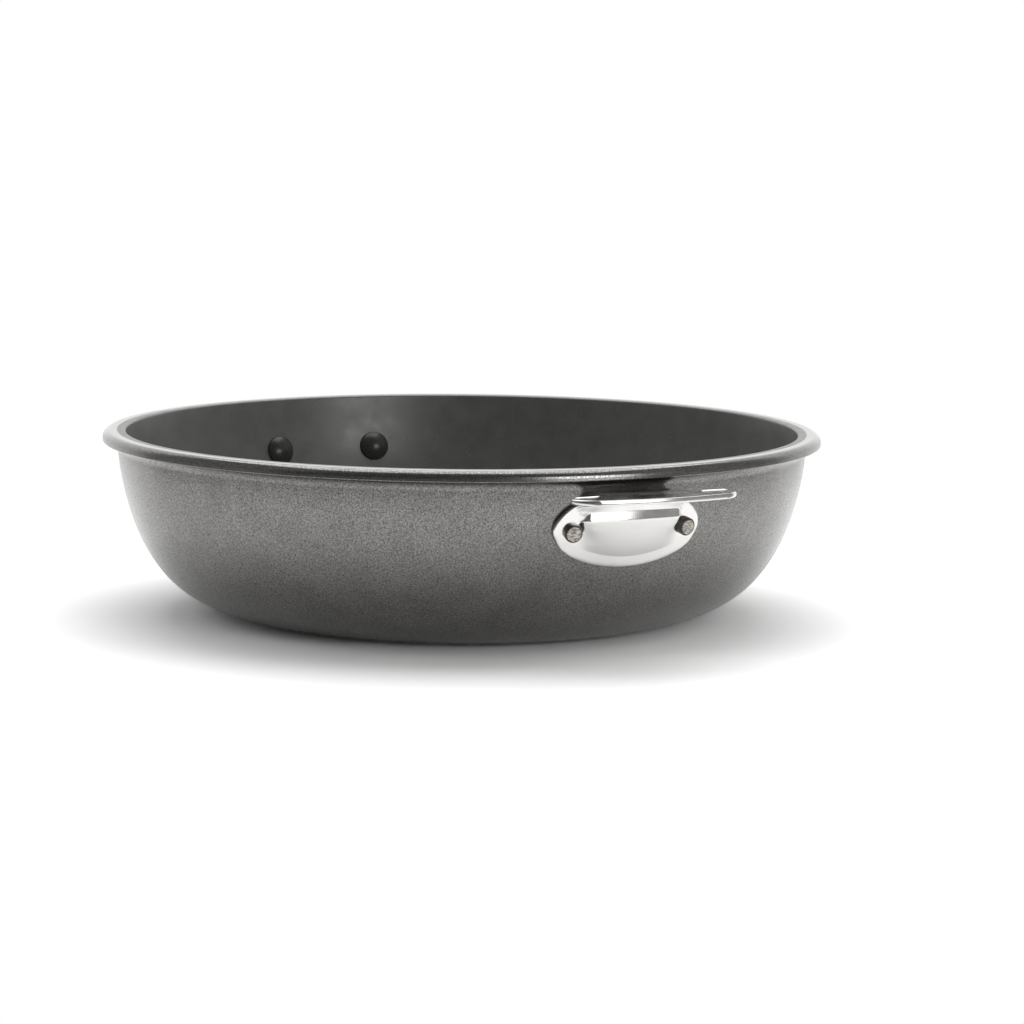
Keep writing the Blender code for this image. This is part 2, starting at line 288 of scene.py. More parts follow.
def flecked_coating(piece):
    """Sprayed coat. One fine noise gives tint, gloss and relief, and a slow one drifts the tint."""
    tree, place, surface = new_material("Flecked non-stick coating, sprayed", piece)
    grain = add_node(tree, "ShaderNodeTexNoise", {"Scale": 1.0 / FLAKE_GRAIN, "Detail": 1.0},
                     {"Vector": place}).outputs["Fac"]
    drift = add_node(tree, "ShaderNodeTexNoise", {"Scale": 1.0 / FLAKE_DRIFT, "Detail": 2.0},
                     {"Vector": place}).outputs["Fac"]
    sparkle = add_node(tree, "ShaderNodeMapRange", {"From Min": NOISE_LOW, "From Max": SPARKLE_HIGH},
                       {"Value": grain}).outputs["Result"]
    tint = add_node(tree, "ShaderNodeMix", {"data_type": "RGBA", 6: linear(FLAKE_DARK),
                                            7: linear(FLAKE_LIGHT)}, {0: sparkle}).outputs[2]
    cloud = add_node(tree, "ShaderNodeMapRange", {"From Min": NOISE_LOW, "From Max": NOISE_HIGH,
                                                  "To Min": DRIFT_DARK, "To Max": DRIFT_LIGHT},
                     {"Value": drift}).outputs["Result"]
    colour = add_node(tree, "ShaderNodeVectorMath", {"operation": "SCALE"},
                      {0: tint, "Scale": cloud}).outputs[0]
    sprayed = add_node(tree, "ShaderNodeMapRange", {"From Min": NOISE_LOW, "From Max": NOISE_HIGH,
                                                    "To Min": FLAKE_ROUGHNESS_DARK,
                                                    "To Max": FLAKE_ROUGHNESS_LIGHT},
                       {"Value": grain}).outputs["Result"]
    height = add_node(tree, "ShaderNodeSeparateXYZ", {}, {0: place}).outputs["Z"]
    unworn = add_node(tree, "ShaderNodeMapRange", {"From Min": PAN_HEIGHT - RIM_WEAR,
                                                   "From Max": PAN_HEIGHT,
                                                   "To Min": 1.0, "To Max": RIM_GRAIN_KEPT},
                      {"Value": height}).outputs["Result"]
    rough = add_node(tree, "ShaderNodeMath", {"operation": "MULTIPLY"},
                     {0: sprayed, 1: unworn}).outputs[0]
    relief = add_node(tree, "ShaderNodeBump", {"Distance": FLAKE_DEPTH},
                      {"Height": grain, "Strength": unworn}).outputs["Normal"]
    coat = add_node(tree, "ShaderNodeBsdfPrincipled", {"Metallic": FLAKE_METALLIC, "IOR": FLAKE_IOR},
                    {"Base Color": colour, "Roughness": rough, "Normal": relief})
    tree.links.new(coat.outputs["BSDF"], surface)


# A smoother rolled PTFE coat: dark grey, with faint clouds and a few pale specks of filler.
CLOUD_SIZE = 9.0 * MM
CLOUD_DARK = "#545453"
CLOUD_LIGHT = "#6c6c68"
CLOUD_ROUGHNESS_DARK = 0.30
CLOUD_ROUGHNESS_LIGHT = 0.42
SPECK_SPACING = 3.2 * MM
SPECK_RADIUS = 0.35 * MM
SPECK_CORE = 0.6
SPECK_COLOUR = "#7e7d78"
ROLLED_IOR = 1.56


def rolled_coating(piece):
    """Rolled coat. Noise gives the clouds, and the middles of Voronoi cells the specks."""
    tree, place, surface = new_material("Smooth non-stick coating, rolled", piece)
    clouds = add_node(tree, "ShaderNodeTexNoise", {"Scale": 1.0 / CLOUD_SIZE, "Detail": 5.0,
                                                   "Roughness": 0.6}, {"Vector": place}).outputs["Fac"]
    cells = add_node(tree, "ShaderNodeTexVoronoi", {"Scale": 1.0 / SPECK_SPACING}, {"Vector": place})
    speck = add_node(tree, "ShaderNodeMapRange", {"From Min": SPECK_RADIUS / SPECK_SPACING,
                                                  "From Max": SPECK_CORE * SPECK_RADIUS / SPECK_SPACING},
                     {"Value": cells.outputs["Distance"]}).outputs["Result"]
    base = add_node(tree, "ShaderNodeMix", {"data_type": "RGBA", 6: linear(CLOUD_DARK),
                                            7: linear(CLOUD_LIGHT)}, {0: clouds}).outputs[2]
    colour = add_node(tree, "ShaderNodeMix", {"data_type": "RGBA", 7: linear(SPECK_COLOUR)},
                      {0: speck, 6: base}).outputs[2]
    rough = add_node(tree, "ShaderNodeMapRange", {"From Min": NOISE_LOW, "From Max": NOISE_HIGH,
                                                  "To Min": CLOUD_ROUGHNESS_DARK,
                                                  "To Max": CLOUD_ROUGHNESS_LIGHT},
                     {"Value": clouds}).outputs["Result"]
    coat = add_node(tree, "ShaderNodeBsdfPrincipled", {"IOR": ROLLED_IOR},
                    {"Base Color": colour, "Roughness": rough})
    tree.links.new(coat.outputs["BSDF"], surface)


profile, inside_points = body_profile()
shell = turned_surface("pan_shell", profile, BODY_STEPS)
flecked_coating(shell)
rolled_coating(shell)
use_second_material(shell, (inside_points - 1) * BODY_STEPS)
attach(shell, "root")
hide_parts("pan_body")


# Handles
# Each handle is stamped from one stainless sheet: an elliptic plate that follows the wall, a
# crowned pillow in its middle, and a bend outward into a flat tab with two wings. It is polished
# soft, and two rivets hold it. The values for the ears and the flattening are shares of the bend.
SHEET = 2.3 * MM
SEAT_GAP = 0.3 * MM
PLATE_HALF_WIDTH = 34.0 * MM
PLATE_HALF_HEIGHT = 16.6 * MM
PLATE_DROP = 25.4 * MM
PILLOW_LIFT = 3.0 * MM
PILLOW_HALF_WIDTH = 22.5 * MM
PILLOW_SIDE_RISE = 14.0 * MM
FOLD_SIDE_RISE = 1.8 * MM
FOLD_SIDE_HEIGHT = 12.0 * MM
PILLOW_STEP_RISE = 4.0 * MM
PILLOW_STEP_SHARE = 0.15
PILLOW_BORDER = 5.1 * MM
PILLOW_BOTTOM_RISE = 4.5 * MM
NECK_HALF_WIDTH = 21.0 * MM
NECK_FILLET = 2.0 * MM
EAR_RELEASE = 0.2
EAR_SPAN = 0.5
LEAN_BACK = math.radians(4.0)
LEAN_BACK_REACH = 3.8 * MM
BEND_RADIUS = 5.4 * MM
BEND_FLATTENING = 0.5
WING_SETBACK = 5.7 * MM
TAB_DROP = 9.5 * MM
TAB_DEPTH = 20.7 * MM
TAB_HALF_WIDTH = 38.2 * MM
TAB_SWEEP = 5.6 * MM
TAB_FRONT_CORNER = 9.0 * MM
TAB_BACK_CORNER = 4.5 * MM
REAR_CURL = 0.6 * MM
REAR_CURL_WIDTH = 1.6 * MM

SEAT = SEAT_GAP + SHEET / 2
BEND_MIDDLE_RADIUS = BEND_RADIUS + SHEET / 2
PLATE_HEIGHT = PAN_HEIGHT - PLATE_DROP
TAB_HEIGHT = PAN_HEIGHT - TAB_DROP - SHEET / 2
BEND_FOOT_HEIGHT = TAB_HEIGHT - BEND_MIDDLE_RADIUS * (1.0 + math.sin(LEAN_BACK))
FOLD_HEIGHT = BEND_FOOT_HEIGHT - LEAN_BACK_REACH
DRAW_BACK = math.tan(wall_slope(BEND_FOOT_HEIGHT)) + math.tan(LEAN_BACK)
BEND_FOOT_LIFT = PILLOW_LIFT - DRAW_BACK * LEAN_BACK_REACH
BEND_FOOT_RADIUS = float(offset_radius(BEND_FOOT_HEIGHT, SEAT))
BEND_END = BEND_FOOT_RADIUS + BEND_FOOT_LIFT + BEND_MIDDLE_RADIUS * math.cos(LEAN_BACK)

# Rows and columns of the sheet. The supports are extra lines that keep an edge or a crease tight
# when the sheet is subdivided. The edge's support stays under half the pillow's border and under
# one step of the wing's columns, so that the lines keep their order.
EDGE_SUPPORT = 1.9 * MM
CREASE_SUPPORT = 0.4 * MM
CREST_SHARE = 0.5
FLANK_SHARE = 0.8
CREST_COLUMNS = 5
FLANK_COLUMNS = 9
EAR_COLUMNS = 3
WING_COLUMNS = 7
BORDER_ROWS = 3
LOWER_ROWS = 6
UPPER_ROWS = 3
LEAN_ROWS = 3
BEND_ROWS = 12
FILLET_ROWS = 5
TAB_ROWS = 6
EDGE_SUBDIVISIONS = 2


def crown(inside, reach):
    """Share of a pressed lift: 0 at its border, steepest there, and 1 at a reach inside it."""
    share = np.clip(inside / reach, 0.0, 1.0)
    return 1.0 - (1.0 - share) ** 2


def supported_lines(count, length, first, last):
    """Shares of a length in even steps, with one more line at a distance inside each end."""
    even = np.linspace(0.0, 1.0, count)[1:-1]
    return np.concatenate([[0.0, first / length], even, [1.0 - last / length, 1.0]])


def sheet_columns():
    """Shares across the sheet from -1 to 1, closest together on the pillow's flanks."""
    crest = np.linspace(0.0, CREST_SHARE, CREST_COLUMNS)
    flank = np.linspace(CREST_SHARE, FLANK_SHARE, FLANK_COLUMNS)[1:]
    ear = np.linspace(FLANK_SHARE, 1.0, EAR_COLUMNS)[1:-1]
    half = np.concatenate([crest, flank, ear, [1.0 - EDGE_SUPPORT / PLATE_HALF_WIDTH, 1.0]])
    return np.concatenate([-half[:0:-1], half])[None, :]


def lower_plate(across):
    """Places (y, z) on the plate below its middle.

    The ellipse is filled by (u sqrt(1 - v^2/2), v sqrt(1 - u^2/2)) for u in -1 to 1 and v in -1 to
    0. The rows in v are drawn so that one of them follows the pillow's lower border, where z
    is the border's height: a quadratic equation in v for each u."""
    bow = PILLOW_BOTTOM_RISE * (PLATE_HALF_WIDTH / PILLOW_HALF_WIDTH * across) ** 2
    b = PLATE_HALF_HEIGHT * np.sqrt(1.0 - across ** 2 / 2.0)
    c = PLATE_HALF_HEIGHT - PILLOW_BORDER - bow
    border = -2.0 * c / (b + np.sqrt(b ** 2 - 2.0 * bow * c))
    below = supported_lines(BORDER_ROWS, PILLOW_BORDER, EDGE_SUPPORT, CREASE_SUPPORT)[:, None]
    front = PLATE_HALF_HEIGHT - PILLOW_BORDER
    above = supported_lines(LOWER_ROWS, front, CREASE_SUPPORT, CREASE_SUPPORT)[1:-2, None]
    v = np.vstack([-1.0 + below * (1.0 + border), border * (1.0 - above)])
    y = PLATE_HALF_WIDTH * across * np.sqrt(1.0 - v ** 2 / 2.0)
    return y, PLATE_HEIGHT + PLATE_HALF_HEIGHT * v * np.sqrt(1.0 - across ** 2 / 2.0)


def upper_plate(across, angle):
    """Places (y, z) on the sheet from the plate's middle to the end of the bend.

    Rows rise over the front to the fold, up the part that leans back, and round the bend, where z
    is the tab's height - r (1 - sin angle). Half the width is the ellipse's or the neck's,
    whichever is more."""
    front = FOLD_HEIGHT - PLATE_HEIGHT
    front_lines = supported_lines(UPPER_ROWS, front, CREASE_SUPPORT, CREASE_SUPPORT)
    lean_lines = supported_lines(LEAN_ROWS, LEAN_BACK_REACH, CREASE_SUPPORT, CREASE_SUPPORT)[1:-1]
    z = np.concatenate([PLATE_HEIGHT + front * front_lines,
                        FOLD_HEIGHT + LEAN_BACK_REACH * lean_lines,
                        TAB_HEIGHT - BEND_MIDDLE_RADIUS * (1.0 - np.sin(angle))])[:, None]
    rise = np.clip((z - PLATE_HEIGHT) / PLATE_HALF_HEIGHT, 0.0, 1.0)
    half_width = np.maximum(PLATE_HALF_WIDTH * np.sqrt(1.0 - rise ** 2), NECK_HALF_WIDTH)
    return across * half_width, z + 0.0 * across


def pillow_share(y, z, bend):
    """Share of the pillow's lift at a place of the sheet, and at a share of the bend.

    Sideways it is a crown, whose flank grows tighter toward the fold, and which lets go in the
    bend, where the full width is lifted. Upward it is a straight line from the lower border to
    the fold, with a small crowned step at the border."""
    tight = smooth((z - FOLD_HEIGHT + FOLD_SIDE_HEIGHT) / FOLD_SIDE_HEIGHT)
    side_rise = PILLOW_SIDE_RISE + (FOLD_SIDE_RISE - PILLOW_SIDE_RISE) * tight
    side = crown(PILLOW_HALF_WIDTH - np.abs(y), side_rise)
    ear = smooth((bend - EAR_RELEASE) / EAR_SPAN)
    border = PLATE_HEIGHT - PLATE_HALF_HEIGHT + PILLOW_BORDER
    border = border + PILLOW_BOTTOM_RISE * (y / PILLOW_HALF_WIDTH) ** 2
    step = crown(z - border, PILLOW_STEP_RISE)
    line = np.clip((z - border) / (FOLD_HEIGHT - border), 0.0, 1.0)
    upward = PILLOW_STEP_SHARE * step + (1.0 - PILLOW_STEP_SHARE) * line
    return (1.0 - (1.0 - side) * (1.0 - ear)) * upward


def plate_bend_and_neck():
    """Middle surface from the plate's foot over the pillow and the bend to the wings.

    A point lies on the wall, moved out by the pillow's lift times its share. Above the fold the
    lift is drawn back, and in the bend the sheet passes over to a straight arc, which ends in the
    flat neck. The neck flares on quarter circles into the wings."""
    across = sheet_columns()
    angle = np.linspace(-LEAN_BACK, math.pi / 2, BEND_ROWS)
    low_y, low_z = lower_plate(across)
    up_y, up_z = upper_plate(across, angle)
    y = np.vstack([low_y, up_y])
    z = np.vstack([low_z, up_z])
    straight = np.zeros(len(z) - BEND_ROWS)
    bend = np.append(straight, np.linspace(0.0, 1.0, BEND_ROWS))[:, None]
    bent_x = np.append(straight, BEND_END - BEND_MIDDLE_RADIUS * np.cos(angle))[:, None]

    flatten = smooth(bend / BEND_FLATTENING)
    on_wall = np.sqrt(offset_radius(z, SEAT) ** 2 - y ** 2)
    lift = PILLOW_LIFT - DRAW_BACK * np.clip(z - FOLD_HEIGHT, 0.0, LEAN_BACK_REACH)
    lifted = np.sqrt((offset_radius(z, SEAT) + lift) ** 2 - (y * (1.0 - flatten)) ** 2)
    lifted = lifted * (1.0 - flatten) + bent_x * flatten
    x = on_wall + (lifted - on_wall) * pillow_share(y, z, bend)

    flare = np.linspace(0.0, math.pi / 2, FILLET_ROWS)[:, None]
    neck_y = across * (NECK_HALF_WIDTH + NECK_FILLET * (1.0 - np.cos(flare)))
    neck_x = BEND_END + WING_SETBACK - NECK_FILLET * (1.0 - np.sin(flare)) + 0.0 * across
    neck = np.stack([neck_x, neck_y, TAB_HEIGHT + 0.0 * neck_x], axis=2)
    return np.vstack([np.stack([x, y, z], axis=2), neck])


def tab_surface():
    """Middle surface of the flat tab in three patches that share their edges, as one grid.

    Rows run outward from the wings' rear edge. The front edge is swept back by the square of y,
    and each wing ends in two elliptic quarters, a small one behind and a large one in front. The
    wings' rear edge curls up by the square of the distance to it, beyond the fillet."""
    depth = TAB_DEPTH - WING_SETBACK
    turn = np.linspace(0.0, math.pi / 2, TAB_ROWS)
    rear_share = (1.0 - np.cos(turn[:-1])) * TAB_BACK_CORNER / depth
    front_share = TAB_BACK_CORNER / depth + (1.0 - TAB_BACK_CORNER / depth) * np.sin(turn)
    share = np.concatenate([rear_share, front_share])[:, None]
    root = NECK_HALF_WIDTH + NECK_FILLET
    rear_trim = TAB_BACK_CORNER * (1.0 - np.sin(turn[:-1]))
    front_trim = TAB_FRONT_CORNER * (1.0 - np.cos(turn))
    trim = np.concatenate([rear_trim, front_trim])[:, None]
    out = supported_lines(WING_COLUMNS, TAB_HALF_WIDTH - root, EDGE_SUPPORT, EDGE_SUPPORT)[None, 1:]
    wing = root + out * (TAB_HALF_WIDTH - trim - root)
    y = np.hstack([-wing[:, ::-1], root * sheet_columns() + 0.0 * share, wing])
    front = TAB_DEPTH - TAB_SWEEP * (y / TAB_HALF_WIDTH) ** 2
    inside = share * (front - WING_SETBACK)
    curl = REAR_CURL * (1.0 - crown(inside, REAR_CURL_WIDTH)) * smooth((np.abs(y) - root) / NECK_FILLET)
    return np.stack([BEND_END + WING_SETBACK + inside, y, TAB_HEIGHT + curl], axis=2)


def grip_sheet(name, turn):
    """Handle on +X (turn 1) or -X (turn -1): its sheet of quads, thickened and rounded.

    The neck's last row is the middle of the tab's first row, so the tab's points stand for both."""
    plate = plate_bend_and_neck()
    tab = tab_surface()
    rows = len(plate) - 1
    wing = (tab.shape[1] - plate.shape[1]) // 2
    plate_index = np.arange(rows * plate.shape[1]).reshape(rows, -1)
    tab_index = plate_index.size + np.arange(tab.shape[0] * tab.shape[1]).reshape(tab.shape[0], -1)
    strip = np.vstack([plate_index, tab_index[0:1, wing:-wing]])
    quads = [np.stack([g[:-1, :-1], g[:-1, 1:], g[1:, 1:], g[1:, :-1]], axis=2).reshape(-1, 4)
             for g in (strip, tab_index)]
    points = np.vstack([plate[:rows].reshape(-1, 3), tab.reshape(-1, 3)])
    points = points * np.array([turn, turn, 1.0])
    mesh = bpy.data.meshes.new(name)
    mesh.from_pydata(points.tolist(), [], np.vstack(quads).tolist())
    mesh.shade_smooth()
    piece = bpy.data.objects.new(name, mesh)
    bpy.context.scene.collection.objects.link(piece)
    solid = piece.modifiers.new("Sheet", "SOLIDIFY")
    solid.thickness = SHEET
    solid.offset = 0.0
    solid.use_even_offset = True
    rounded = piece.modifiers.new("Tumbled edges", "SUBSURF")
    rounded.levels = EDGE_SUBDIVISIONS
    rounded.render_levels = EDGE_SUBDIVISIONS
    return piece


# Stainless sheet, stamped and then polished soft: near white, with a faint haze and hairlines
# that run across the handle.
STEEL_DARK = "#d3d2d0"
STEEL_LIGHT = "#dddcda"
HAZE_SIZE = 11.0 * MM
HAZE_ROUGHNESS_LOW = 0.14
HAZE_ROUGHNESS_HIGH = 0.24
HAIRLINE_LENGTH = 9.0 * MM
HAIRLINE_WIDTH = 0.35 * MM
HAIRLINE_DEPTH = 0.02 * MM
HAIRLINE_STRENGTH = 0.12


def soft_polished_steel(piece, side_name):
    """Polished sheet. A slow noise gives tint and haze, and one stretched along Y the hairlines."""
    tree, place, surface = new_material("Stainless sheet, stamped and soft polished " + side_name, piece)
    haze = add_node(tree, "ShaderNodeTexNoise", {"Scale": 1.0 / HAZE_SIZE, "Detail": 4.0},
                    {"Vector": place}).outputs["Fac"]
    stretch = add_node(tree, "ShaderNodeMapping", {"Scale": (1.0 / HAIRLINE_WIDTH, 1.0 / HAIRLINE_LENGTH,
                                                             1.0 / HAIRLINE_WIDTH)},
                       {"Vector": place}).outputs["Vector"]
    hairlines = add_node(tree, "ShaderNodeTexNoise", {"Scale": 1.0, "Detail": 2.0},
                         {"Vector": stretch}).outputs["Fac"]
    rough = add_node(tree, "ShaderNodeMapRange", {"From Min": NOISE_LOW, "From Max": NOISE_HIGH,
                                                  "To Min": HAZE_ROUGHNESS_LOW,
                                                  "To Max": HAZE_ROUGHNESS_HIGH},
                     {"Value": haze}).outputs["Result"]
    relief = add_node(tree, "ShaderNodeBump", {"Strength": HAIRLINE_STRENGTH, "Distance": HAIRLINE_DEPTH},
                      {"Height": hairlines}).outputs["Normal"]
    tint = add_node(tree, "ShaderNodeMix", {"data_type": "RGBA", 6: linear(STEEL_DARK),
                                            7: linear(STEEL_LIGHT)}, {0: haze}).outputs[2]
    steel = add_node(tree, "ShaderNodeBsdfPrincipled", {"Metallic": 1.0},
                     {"Base Color": tint, "Roughness": rough, "Normal": relief})
    tree.links.new(steel.outputs["BSDF"], surface)


for side_name, turn in (("right", 1.0), ("left", -1.0)):
    grip = grip_sheet("grip_" + side_name, turn)
    soft_polished_steel(grip, side_name)
    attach(grip, "root")
    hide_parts("handle_" + side_name)


# Rivets
# Solid steel rivets go in from the inside of the pan. The domed head is coated with the pan, and
# the tail stands out through the plate as a short stub with a bare, roughly ground end.
RIVET_SPACING = 52.0 * MM
RIVET_DROP = 25.5 * MM
RIVET_HEIGHT = PAN_HEIGHT - RIVET_DROP
SHANK_RADIUS = 3.8 * MM
TAIL_STANDOUT = 2.5 * MM
TAIL_CHAMFER = 0.75 * MM
HEAD_RADIUS = 6.9 * MM
HEAD_HEIGHT = 3.6 * MM
HEAD_EDGE = 0.9 * MM
HEAD_SINK = 0.25 * MM
RIVET_STEPS = 72
DOME_POINTS = 22


def rivet_place(turn, side):
    """Frame of a rivet: local Z points out of the wall, with its origin on the outer wall."""
    radius = float(offset_radius(RIVET_HEIGHT, 0.0))
    swing = turn + side * RIVET_SPACING / (2 * radius)
    spin = Matrix.Rotation(swing, 4, "Z") @ Matrix.Translation((radius, 0.0, RIVET_HEIGHT))
    return spin @ Matrix.Rotation(math.pi / 2 + wall_slope(RIVET_HEIGHT), 4, "Y")


def rivet_profile():
    """Half section of a rivet from the middle of the tail's end to the top of the dome.

    The dome is a slice of a ball of radius (head^2 + rise^2) / (2 rise). Also gives how many rings
    of points lie inside the flat end."""
    point, _, u = outer_wall(WALL_LOOKUP_POINTS)
    metal = float(wall_thickness(np.interp(RIVET_HEIGHT, point[:, 1], u[:, 0])))
    seat = -(metal + HEAD_SINK)
    tail = SEAT_GAP + SHEET + TAIL_STANDOUT
    end = flat((0.0, tail), (SHANK_RADIUS - TAIL_CHAMFER, tail))
    chamfer = arc((SHANK_RADIUS - TAIL_CHAMFER, tail - TAIL_CHAMFER), TAIL_CHAMFER, math.pi / 2, 0.0)
    side = flat((SHANK_RADIUS, tail - TAIL_CHAMFER), (SHANK_RADIUS, seat))
    brim = [[SHANK_RADIUS, seat], [HEAD_RADIUS, seat]]
    rise = HEAD_HEIGHT - HEAD_EDGE
    ball = (HEAD_RADIUS ** 2 + rise ** 2) / (2 * rise)
    sweep = np.linspace(math.atan2(HEAD_RADIUS, ball - rise), 0.0, DOME_POINTS)[:, None]
    dome = np.hstack([ball * np.sin(sweep), seat - HEAD_EDGE + ball - rise - ball * np.cos(sweep)])
    return np.vstack([[[0.0, tail]], end, chamfer, side, brim, dome]), len(end)


# Coated steel: near black and glossier than the pan, because the paint lies thick on it.
BLOTCHES_PER_MM = 0.6
PAINT_DARK = "#262625"
PAINT_LIGHT = "#45433f"
PAINT_ROUGHNESS = 0.28
PAINT_IOR = 1.45


def coated_steel(piece, label):
    """Thick paint, with soft blotches from a noise."""
    tree, place, surface = new_material("Coated rivet steel " + label, piece)
    blotch = add_node(tree, "ShaderNodeTexNoise", {"Scale": BLOTCHES_PER_MM / MM, "Detail": 3.0},
                      {"Vector": place}).outputs["Fac"]
    colour = add_node(tree, "ShaderNodeMix", {"data_type": "RGBA", 6: linear(PAINT_DARK),
                                              7: linear(PAINT_LIGHT)}, {0: blotch}).outputs[2]
    paint = add_node(tree, "ShaderNodeBsdfPrincipled", {"Roughness": PAINT_ROUGHNESS, "IOR": PAINT_IOR},
                     {"Base Color": colour})
    tree.links.new(paint.outputs["BSDF"], surface)


# Bare steel, ground across the end: warm grey, mottled, with coarse scratches. They are turned by
# an angle in radians.
SCRATCHES_PER_MM = 2.2
BREAKS_PER_MM = 0.7
SCRATCH_TURN = 0.6
SCRATCH_LOW = 0.38
SCRATCH_HIGH = 0.62
GROUND_DARK = "#6e6760"
GROUND_LIGHT = "#c4beb7"
GROUND_METALLIC = 0.8
GROUND_ROUGHNESS = 0.45


def ground_steel(piece, label):
    """Ground end, with scratches from a noise that is stretched and turned across the end."""
    tree, place, surface = new_material("Ground rivet steel " + label, piece)
    stretch = add_node(tree, "ShaderNodeMapping", {"Rotation": (SCRATCH_TURN, 0.0, 0.0),
                                                   "Scale": (BREAKS_PER_MM / MM, BREAKS_PER_MM / MM,
                                                             SCRATCHES_PER_MM / MM)},
                       {"Vector": place}).outputs["Vector"]
    scratch = add_node(tree, "ShaderNodeTexNoise", {"Scale": 1.0, "Detail": 3.0},
                       {"Vector": stretch}).outputs["Fac"]
    mottle = add_node(tree, "ShaderNodeMapRange", {"From Min": SCRATCH_LOW, "From Max": SCRATCH_HIGH},
                      {"Value": scratch}).outputs["Result"]
    colour = add_node(tree, "ShaderNodeMix", {"data_type": "RGBA", 6: linear(GROUND_DARK),
                                              7: linear(GROUND_LIGHT)}, {0: mottle}).outputs[2]
    bare = add_node(tree, "ShaderNodeBsdfPrincipled", {"Metallic": GROUND_METALLIC,
                                                       "Roughness": GROUND_ROUGHNESS},
                    {"Base Color": colour})
    tree.links.new(bare.outputs["BSDF"], surface)


rivet_half, end_rings = rivet_profile()
for side_name, turn, mirror in (("right", 0.0, 1), ("left", math.pi, -1)):
    for end_name, side in (("front", -1), ("rear", 1)):
        label = side_name + "_" + end_name
        rivet = turned_surface("stud_" + label, rivet_half, RIVET_STEPS, rivet_place(turn, side * mirror))
        coated_steel(rivet, label)
        ground_steel(rivet, label)
        use_second_material(rivet, (end_rings + 1) * RIVET_STEPS)
        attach(rivet, "root")
        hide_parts("rivet_" + label)


# Table
# A white matt sheet that the pan stands on. Its edge fades out, so that it runs into the white
# background without a line. To the camera and in reflections it is overexposed, as in the
# photograph, so that only the pan's shadow shows on it.
TABLE_RADIUS = 0.80
TABLE_CORNERS = 96
FADE_START = 0.28
FADE_END = 0.55
PAPER = 0.80
PAPER_OVEREXPOSED = 1.35


def view_shares(tree):
    """Two outputs: 1 for the camera's own rays, and 1 for rays that a mirror or glass sends on."""
    path = add_node(tree, "ShaderNodeLightPath", {})
    mirrored = add_node(tree, "ShaderNodeMath", {"operation": "MAXIMUM"},
                        {0: path.outputs["Is Glossy Ray"], 1: path.outputs["Is Transmission Ray"]})
    return path.outputs["Is Camera Ray"], mirrored.outputs[0]


def white_paper(piece):
    """Matt paper that turns transparent with the distance from the pan's axis."""
    tree, place, surface = new_material("White paper", piece)
    distance = add_node(tree, "ShaderNodeVectorMath", {"operation": "LENGTH"}, {0: place}).outputs["Value"]
    solid_share = add_node(tree, "ShaderNodeMapRange", {"interpolation_type": "SMOOTHSTEP",
                                                        "From Min": FADE_END, "From Max": FADE_START},
                           {"Value": distance}).outputs["Result"]
    seen, mirrored = view_shares(tree)
    shown = add_node(tree, "ShaderNodeMath", {"operation": "MAXIMUM"}, {0: seen, 1: mirrored}).outputs[0]
    white = add_node(tree, "ShaderNodeMix", {"data_type": "FLOAT", 2: PAPER, 3: PAPER_OVEREXPOSED},
                     {0: shown}).outputs[0]
    paper = add_node(tree, "ShaderNodeBsdfDiffuse", {}, {"Color": white}).outputs[0]
    gone = add_node(tree, "ShaderNodeBsdfTransparent", {}).outputs[0]
    faded = add_node(tree, "ShaderNodeMixShader", {}, {0: solid_share, 1: gone, 2: paper}).outputs[0]
    tree.links.new(faded, surface)


bpy.ops.mesh.primitive_circle_add(vertices=TABLE_CORNERS, radius=TABLE_RADIUS, fill_type="NGON")
table = bpy.context.object
table.name = "Table"
white_paper(table)


# Light
# A white studio with a softbox overhead and another front right. Its end behind the camera is
# unlit, which gives the steel and the lip their dark bands.

# The background is white to the camera. In reflections the far end of the room is white, the side
# walls are dim, and the near end is dark. What lights the pan is a white dome, dark in front and
# dim at the ceiling. Between the two cosines of a pair, one level passes over to the next: the
# cosine is that of the angle to the camera's side, or for the ceiling to straight up.
BACKGROUND = 1.0
BACKGROUND_MIRRORED = 1.2
SIDE_WALLS = 0.30
UNLIT_END = 0.10
SIDE_TO_UNLIT = (0.34, 0.60)
BACK_TO_SIDE = (-0.66, -0.40)
DOME = 1.0
DOME_FRONT = 0.03
DOME_TO_FRONT = (0.20, 0.55)
DOME_CEILING = 0.1
DOME_TO_CEILING = (0.70, 0.95)

toward_camera = Vector((to_camera.x, to_camera.y, 0.0)).normalized()
world = bpy.data.worlds.new("Studio")
bpy.context.scene.world = world
world.use_nodes = True
tree = world.node_tree
tree.nodes.clear()
direction = add_node(tree, "ShaderNodeTexCoord", {}).outputs["Generated"]
facing = add_node(tree, "ShaderNodeVectorMath", {"operation": "DOT_PRODUCT", 1: toward_camera},
                  {0: direction}).outputs["Value"]
upward = add_node(tree, "ShaderNodeSeparateXYZ", {}, {0: direction}).outputs["Z"]

walls = add_node(tree, "ShaderNodeMapRange", {"interpolation_type": "SMOOTHSTEP",
                                              "From Min": SIDE_TO_UNLIT[0], "From Max": SIDE_TO_UNLIT[1],
                                              "To Min": SIDE_WALLS, "To Max": UNLIT_END},
                 {"Value": facing}).outputs["Result"]
behind = add_node(tree, "ShaderNodeMapRange", {"interpolation_type": "SMOOTHSTEP",
                                               "From Min": BACK_TO_SIDE[0], "From Max": BACK_TO_SIDE[1],
                                               "To Min": 1.0, "To Max": 0.0},
                  {"Value": facing}).outputs["Result"]
room = add_node(tree, "ShaderNodeMix", {"data_type": "FLOAT", 3: BACKGROUND_MIRRORED},
                {0: behind, 2: walls}).outputs[0]

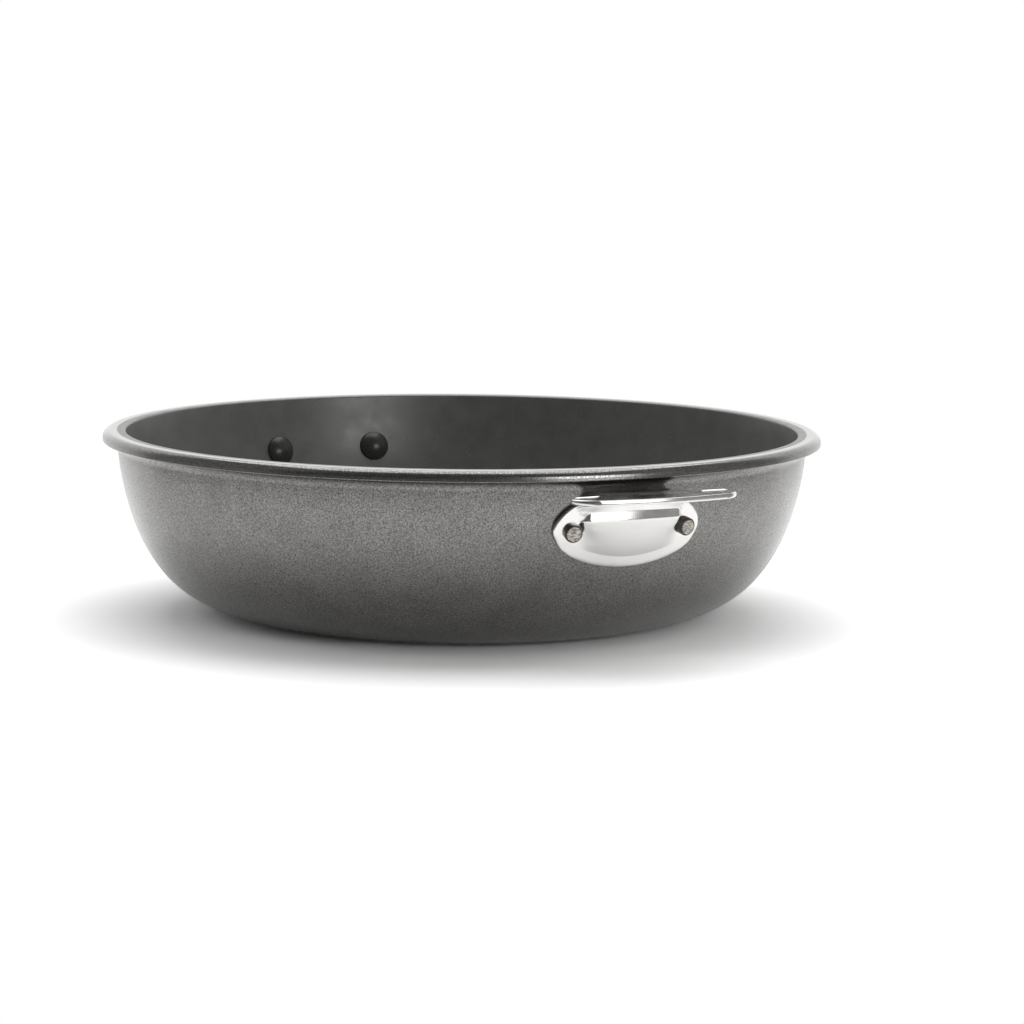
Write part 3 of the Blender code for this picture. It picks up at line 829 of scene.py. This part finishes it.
ahead = add_node(tree, "ShaderNodeMapRange", {"interpolation_type": "SMOOTHSTEP",
                                              "From Min": DOME_TO_FRONT[0], "From Max": DOME_TO_FRONT[1],
                                              "To Min": DOME, "To Max": DOME_FRONT},
                 {"Value": facing}).outputs["Result"]
ceiling = add_node(tree, "ShaderNodeMapRange", {"interpolation_type": "SMOOTHSTEP",
                                                "From Min": DOME_TO_CEILING[0],
                                                "From Max": DOME_TO_CEILING[1],
                                                "To Min": 1.0, "To Max": DOME_CEILING},
                   {"Value": upward}).outputs["Result"]
dome = add_node(tree, "ShaderNodeMath", {"operation": "MULTIPLY"}, {0: ahead, 1: ceiling}).outputs[0]

seen, mirrored = view_shares(tree)
unseen = add_node(tree, "ShaderNodeMix", {"data_type": "FLOAT"}, {0: mirrored, 2: dome, 3: room}).outputs[0]
level = add_node(tree, "ShaderNodeMix", {"data_type": "FLOAT", 3: BACKGROUND},
                 {0: seen, 2: unseen}).outputs[0]
sky = add_node(tree, "ShaderNodeBackground", {"Color": (1.0, 1.0, 1.0, 1.0)},
               {"Strength": level}).outputs[0]
add_node(tree, "ShaderNodeOutputWorld", {}, {"Surface": sky})

# Places are given from the pan's axis at the table, toward the camera, to its right, and up. The
# glare is how much brighter a softbox looks in a reflection than it lights.
OVERHEAD_AHEAD = -0.40
OVERHEAD_UP = 1.45
OVERHEAD_SIZE = 1.6
OVERHEAD_WATTS = 18.0
OVERHEAD_GLARE = 2.3
FRONT_AHEAD = 0.911
FRONT_TO_RIGHT = 0.702
FRONT_UP = 0.22
FRONT_SIZE = 0.5
FRONT_WATTS = 4.4
FRONT_GLARE = 1.0
FRONT_AIM_HEIGHT = 0.04


def softbox(name, place, target, size, power, glare):
    """Square area lamp at a place, aimed at a target, hidden from the camera itself."""
    lamp = bpy.data.lights.new(name, "AREA")
    lamp.shape = "RECTANGLE"
    lamp.size = size
    lamp.size_y = size
    lamp.energy = power
    lamp.use_nodes = True
    path = add_node(lamp.node_tree, "ShaderNodeLightPath", {})
    strength = add_node(lamp.node_tree, "ShaderNodeMix", {"data_type": "FLOAT", 2: 1.0, 3: glare},
                        {0: path.outputs["Is Glossy Ray"]}).outputs[0]
    lamp.node_tree.links.new(strength, lamp.node_tree.nodes["Emission"].inputs["Strength"])
    holder = bpy.data.objects.new(name, lamp)
    holder.location = place
    holder.rotation_mode = "QUATERNION"
    holder.rotation_quaternion = (target - place).normalized().to_track_quat("-Z", "Y")
    holder.visible_camera = False
    bpy.context.scene.collection.objects.link(holder)


to_right = Vector((-toward_camera.y, toward_camera.x, 0.0))
overhead = Vector((0.0, 0.0, OVERHEAD_UP)) + toward_camera * OVERHEAD_AHEAD
front_right = Vector((0.0, 0.0, FRONT_UP)) + toward_camera * FRONT_AHEAD + to_right * FRONT_TO_RIGHT
softbox("Overhead softbox", overhead, Vector((0.0, 0.0, 0.0)), OVERHEAD_SIZE, OVERHEAD_WATTS,
        OVERHEAD_GLARE)
softbox("Front right softbox", front_right, Vector((0.0, 0.0, FRONT_AIM_HEIGHT)), FRONT_SIZE,
        FRONT_WATTS, FRONT_GLARE)

bpy.context.scene.view_settings.view_transform = "Standard"
